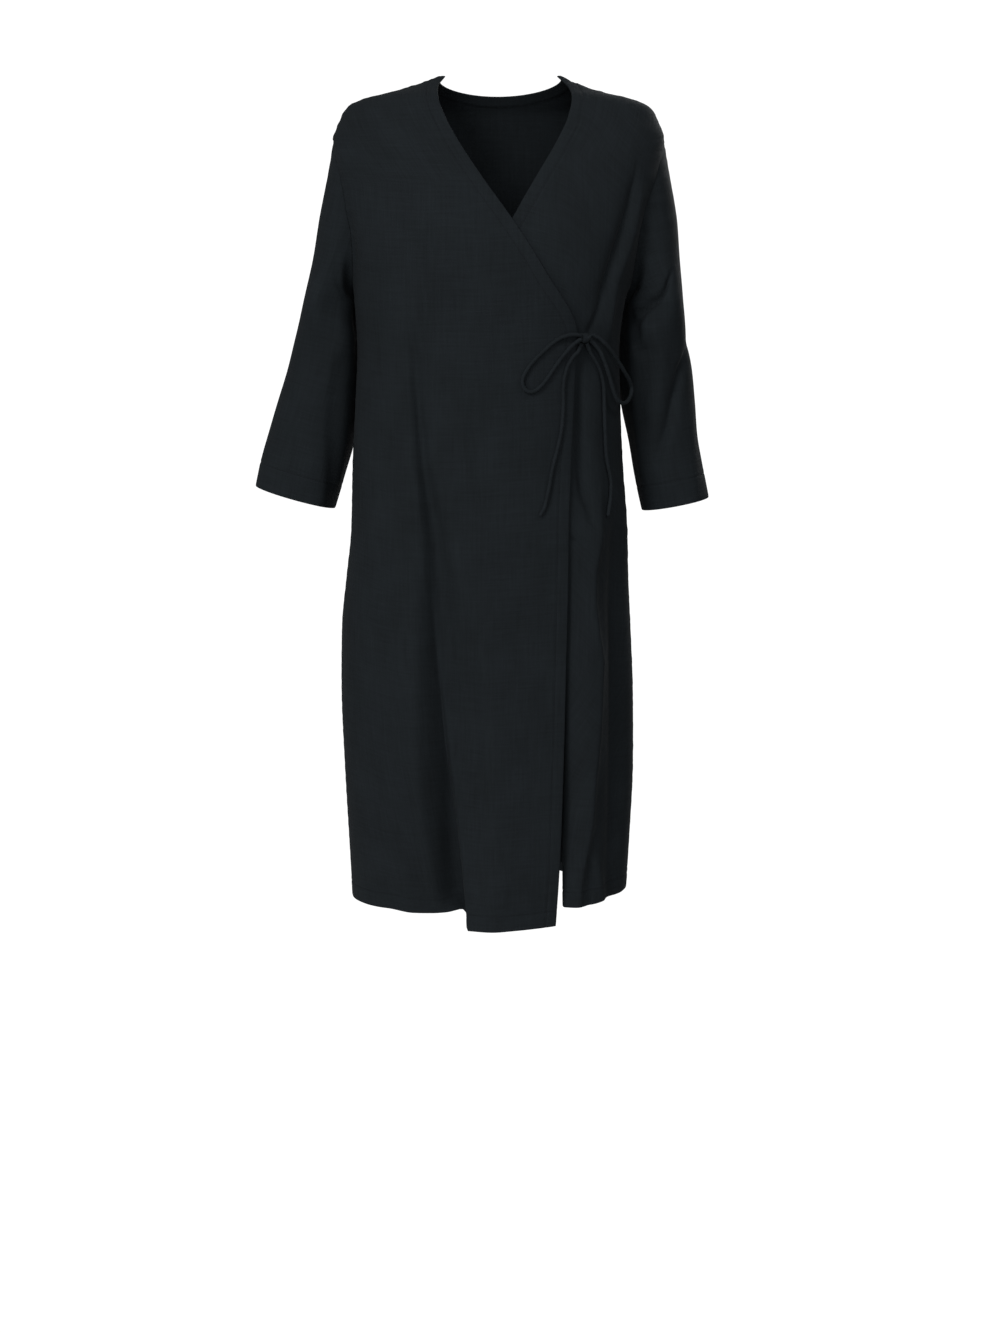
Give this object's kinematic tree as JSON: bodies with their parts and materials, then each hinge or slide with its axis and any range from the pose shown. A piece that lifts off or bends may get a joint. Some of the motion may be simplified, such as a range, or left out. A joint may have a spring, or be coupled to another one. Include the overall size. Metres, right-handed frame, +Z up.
{
  "type": "wrap dress",
  "caption": "Knee-length linen wrap dress with a V neck, loose three-quarter sleeves and a thin tie at the side waist, in its worn hollow shape.",
  "frame": {"origin": "midway between the two neck points of the shoulder seams, where the wearer's shoulders hold the dress", "axes": "+Z up, along the dress; the wearer faces -Y; +X is the wearer's left"},
  "size_m": [0.6132, 0.2645, 1.095],
  "materials": {
    "right_front": "matte",
    "left_front": "matte",
    "back": "matte",
    "right_sleeve": "matte",
    "left_sleeve": "matte",
    "right_tie_loop": "matte",
    "right_tie_tail": "matte",
    "left_tie_loop": "matte",
    "left_tie_tail": "matte",
    "bow_knot": "matte"
  },
  "bodies": {
    "root": {"right_front": "right_front", "left_front": "left_front", "back": "back", "right_sleeve": "right_sleeve", "left_sleeve": "left_sleeve", "right_tie_loop": "right_tie_loop", "right_tie_tail": "right_tie_tail", "left_tie_loop": "left_tie_loop", "left_tie_tail": "left_tie_tail", "bow_knot": "bow_knot"}
  },
  "joints": []
}
